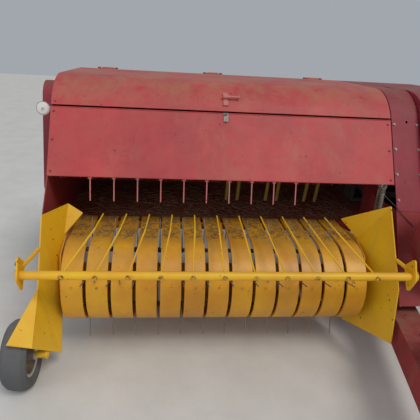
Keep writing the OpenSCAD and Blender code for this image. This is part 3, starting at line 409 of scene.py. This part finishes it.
def band_rivets():
    """Two rivets on each band's flat top and one on its round front."""
    b = Build()
    face = BAND_R + 0.2
    front_y, front_z = spoke(1, 166)
    out = Vector((0, front_y, front_z))
    for i in range(BAND_COUNT):
        x = (i - (BAND_COUNT - 1) // 2) * BAND_PITCH
        for y in (300, 328):
            b.tube(P(x, y, BAND_TOP + 0.2), P(x, y, BAND_TOP + 4), 0.008, 10)
        foot = P(x, face * front_y, REEL_Z + face * front_z)
        b.tube(foot, foot + out * 0.003, 0.007, 10)
    b.done("band_rivets", "rusty_yellow", "pickup")


def hooked_wires():
    """Wire ends that hook over some bands. Each has its x and the angle at which it starts."""
    b = Build()
    hooks = ((-640, 150), (-515, 152), (250, 149), (628, 147), (720, 150))
    rise = (0, 3, 5, 8, 15)
    for x, start in hooks:
        points = []
        for k, lift in enumerate(rise):
            dy, dz = spoke(BAND_R + 2.2 + lift, start + k * 2.2)
            points.append(P(x + k * 2.5, dy, REEL_Z + dz))
        b.path(points, 0.0022, 8)
    b.done("hooked_wires", "cast", "pickup")


def front_panel_trim():
    """Folded edges along the housing's seam and lip, and bolts at both ends of the panel."""
    b = Build()
    for z, lift, r in ((1340, 0.0005, 0.0026), (1009, 0.001, 0.0035)):
        b.tube(on_slope(HOUSING_X0, z, lift), on_slope(HOUSING_X1, z, lift), r, 8)
    b.done("front_panel_edges", "hood_red", "chassis")
    b = Build()
    for x in (-892, 988):
        for z in (1030, 1180, 1318):
            b.bolt(on_slope(x, z, 0.0002), OUT, 0.0045, 0.003)
    b.done("front_panel_bolts", "casing_red", "chassis")


def hasp():
    """The strap, its bolt and the staple below the lid's latch."""
    b = Build()
    x = 40
    lean = Matrix.Rotation(-math.atan(SLOPE), 4, "X")
    b.block(Matrix.Translation(on_slope(x, 1318, 0.0035)) @ lean, (0.026, 0.005, 0.052))
    b.bolt(on_slope(x, 1300, 0.006), OUT, 0.005, 0.004)
    staple = ((x - 6, 0.005), (x - 6, 0.020), (x + 6, 0.020), (x + 6, 0.005))
    b.path([on_slope(sx, 1334, lift) for sx, lift in staple], 0.003, 8)
    b.done("hasp", "steel", "chassis")


def cover_bolts():
    """Bolts down the edges of the front casing and of the gearbox casing, which stands ahead of it."""
    b = Build()
    places = [(x, z, 0.0) for z in (930, 1060, 1190, 1320) for x in (1026, 1164)]
    places += [(x, z, GEARBOX_COVER_AHEAD) for z in (1090, 1200, 1310) for x in (1198, 1572)]
    places += [(x, 1075, GEARBOX_COVER_AHEAD) for x in (1300, 1380, 1460)]
    for x, z, ahead in places:
        b.bolt(on_slope(x, z, 0.0003, ahead), OUT, 0.006, 0.005)
    b.done("cover_bolts", "steel", "chassis")


def tread(name, body, cx):
    """Three rows of low, slanted tread blocks round a main tyre."""
    b = Build()
    rows = 3
    count = 56
    width = 84
    block = (width / 1000 / rows * 0.82, 0.030, TREAD_DEEP)
    for k in range(count):
        for row in range(rows):
            odd = row % 2
            c, s = spoke(1, 360 * (k + 0.5 * odd) / count)
            x = cx + (row - (rows - 1) / 2) * (width / rows)
            out = Vector((0, c, s))
            m = Matrix.Translation(P(x, AXLE_Y, AXLE_Z) + out * (TREAD_R + TREAD_DEEP / 2 - 0.0005))
            m = m @ Matrix(((1, 0, 0), (0, -s, c), (0, c, s))).to_4x4()
            m = m @ Matrix.Rotation(math.radians(14 if odd else -14), 4, "Z")
            b.block(m, block)
    b.done(name, "rubber", body)


def wheel_nuts(name, body, cx, side, face):
    """Six nuts on the rim's disc, whose outer face lies that far from the wheel's middle."""
    b = Build()
    for k in range(6):
        dy, dz = spoke(64, 60 * k + 30)
        b.bolt(P(cx + face, AXLE_Y + dy, AXLE_Z + dz), X * side, 0.010, 0.014)
    b.done(name, "steel", body)


def gauge_ribs():
    b = Build()
    for dx in (-14, 0, 14):
        b.path(circle_yz(GAUGE_X + dx, GAUGE_Y, GAUGE_Z, 174, 48), 0.0009, 6)
    b.done("gauge_ribs", "gauge_rubber", "gauge_wheel")


def tine_coils():
    """A spring coil of three turns beside each tine's foot on the reel bars."""
    b = Build()
    turn_steps = 8
    for row in range(TINE_ROWS):
        bar_y, bar_z = spoke(REEL_BAR_AT, REEL_LEAD + 90 * row)
        for i in range(TINES_A_ROW):
            x = (i - (TINES_A_ROW - 1) / 2) * BAND_PITCH - 16
            points = []
            for j in range(3 * turn_steps + 1):
                dy, dz = spoke(15, 360 * j / turn_steps)
                points.append(P(x + j * 0.9, bar_y + dy, REEL_Z + bar_z + dz))
            b.path(points, 0.0028, 5)
    b.done("tine_coils", "steel", "reel")


def latch_cable():
    """A thin cable from the lift spring's bracket to the slanted plate, in two spans that sag a little."""
    b = Build()
    start, bend, end = (916, 84, 985), (1005, 6, 898), (1108, -32, 798)
    steps = 4
    points = []
    for p, q in ((start, bend), (bend, end)):
        for k in range(steps + 1):
            t = k / steps
            x, y, z = (u + (v - u) * t for u, v in zip(p, q))
            points.append(P(x, y, z - 3 * math.sin(math.pi * t)))
    for p, q in zip(points[:-1], points[1:]):
        if (q - p).length > 1e-6:
            b.tube(p, q, 0.0022, 6)
    b.done("latch_cable", "black", "chassis")


def eyebolt():
    b = Build()
    b.path(circle_xz(940, 66, 1000, 15, 10), 0.0035, 6)
    b.done("eyebolt", "bright_steel", "chassis")


def reflector_rim():
    """A wire rim and a screw on the reflector's face."""
    b = Build()
    x, z = -957, 1324
    b.path(circle_xz(x, 291, z, 35, 28), 0.0025, 6)
    b.tube(P(x, 282.5, z), P(x, 278.5, z), 0.006, 12)
    b.done("reflector_rim", "bright_steel", "chassis")


def case_bolts():
    """Bolts along the side rails and the wall of the bale case, and on the knotter frame's plates."""
    b = Build()
    rail_face = CASE_HALF + 36.2
    plate_face = CASE_HALF + 6.2
    for y in (1290, 1450, 1700, 1900, 2150, 2400, 2640):
        for s in (-1, 1):
            b.bolt(P(CASE_X + s * rail_face, y, 822), X * s, 0.009, 0.007)
    for y in (420, 700, 980, 1200):
        b.bolt(P(CASE_X + plate_face, y, 960), X, 0.008, 0.007)
    for s in (-1, 1):
        for y, z in ((1690, 1050), (1930, 1050), (1780, 1250)):
            b.bolt(P(CASE_X + s * plate_face, y, z), X * s, 0.008, 0.007)
    b.done("case_bolts", "steel", "chassis")


def gearbox_bolts():
    """Bolts round the gearbox's front bearing cover and round both of its side covers."""
    b = Build()
    for k in range(8):
        dx, dz = spoke(92, 45 * k + 22.5)
        b.bolt(P(CASE_X + dx, -20.3, FLY_Z + dz), -Y, 0.008, 0.006)
    for k in range(8):
        dy, dz = spoke(78, 45 * k)
        for s in (-1, 1):
            b.bolt(P(CASE_X + s * 160.3, 130 + dy, FLY_Z + 20 + dz), X * s, 0.007, 0.006)
    b.done("gearbox_bolts", "steel", "chassis")


def clutch_bolts():
    b = Build()
    for k in range(6):
        dx, dz = spoke(85, 60 * k)
        b.bolt(P(CASE_X + dx, -304.3, FLY_Z + dz), -Y, 0.008, 0.007)
    b.done("clutch_bolts", "steel", "flywheel")


def litter_drum():
    """Dry stalks that lie on the bands' flat tops, clear of the slots between the bands."""
    b = Build()
    for k in range(1500):
        x = random.uniform(-790, 790)
        across = (x + BAND_COUNT * BAND_PITCH / 2) % BAND_PITCH
        y = random.uniform(30, 345)
        if across < 16 or across > 109:
            continue
        length = random.uniform(10, 42)
        a = random.uniform(0, math.pi)
        z = BAND_TOP + 1.2 + random.uniform(0, 5)
        dx = length / 2 * math.cos(a)
        dy = length / 2 * math.sin(a)
        if across - abs(dx) < 12 or across + abs(dx) > 113 or y + abs(dy) > 349:
            continue
        end = P(x + dx, y + dy, z + random.uniform(-0.6, 3))
        b.tube(P(x - dx, y - dy, z), end, random.uniform(0.0007, 0.0016), 3)
    b.done("litter_drum", "hay", "pickup")


def litter_table():
    """Dry stalks on the feed table, heaped up in waves across its width."""
    b = Build()
    for k in range(2600):
        x = random.uniform(-890, 980)
        y = random.uniform(385, 1120)
        length = random.uniform(12, 60)
        a = random.uniform(0, math.pi)
        z = TABLE_Z + 1.5 + random.uniform(0, 16) * (0.3 + 0.7 * math.sin(x * 0.011) ** 2)
        dx = length / 2 * math.cos(a)
        dy = length / 2 * math.sin(a)
        end = P(x + dx, y + dy, z + random.uniform(0, 6))
        b.tube(P(x - dx, y - dy, z), end, random.uniform(0.0008, 0.0018), 3)
    b.done("litter_table", "hay", "chassis")


def wisps():
    """Short wisps that hang from the housing's lip."""
    b = Build()
    for k in range(110):
        x = random.uniform(-860, 960)
        points = [P(x, LIP_Y + random.uniform(8, 20), LIP_Z - 0.5)]
        for j in range(2):
            side = random.uniform(-0.010, 0.010)
            back = random.uniform(-0.003, 0.005)
            down = -random.uniform(0.004, 0.009)
            points.append(points[-1] + Vector((side, back, down)))
        b.path(points, 0.0008, 3)
    b.done("wisps", "hay", "chassis")


windguard_bolts()
end_plate_bolts()
band_rivets()
hooked_wires()
front_panel_trim()
hasp()
cover_bolts()
tread("right_tread", "right_wheel", -1065)
tread("left_tread", "left_wheel", 1745)
wheel_nuts("right_wheel_nuts", "right_wheel", -1065, -1, -6)
wheel_nuts("left_wheel_nuts", "left_wheel", 1745, 1, 2.5)
gauge_ribs()
tine_coils()
latch_cable()
eyebolt()
reflector_rim()
case_bolts()
gearbox_bolts()
clutch_bolts()
random.seed(7)
litter_drum()
litter_table()
wisps()
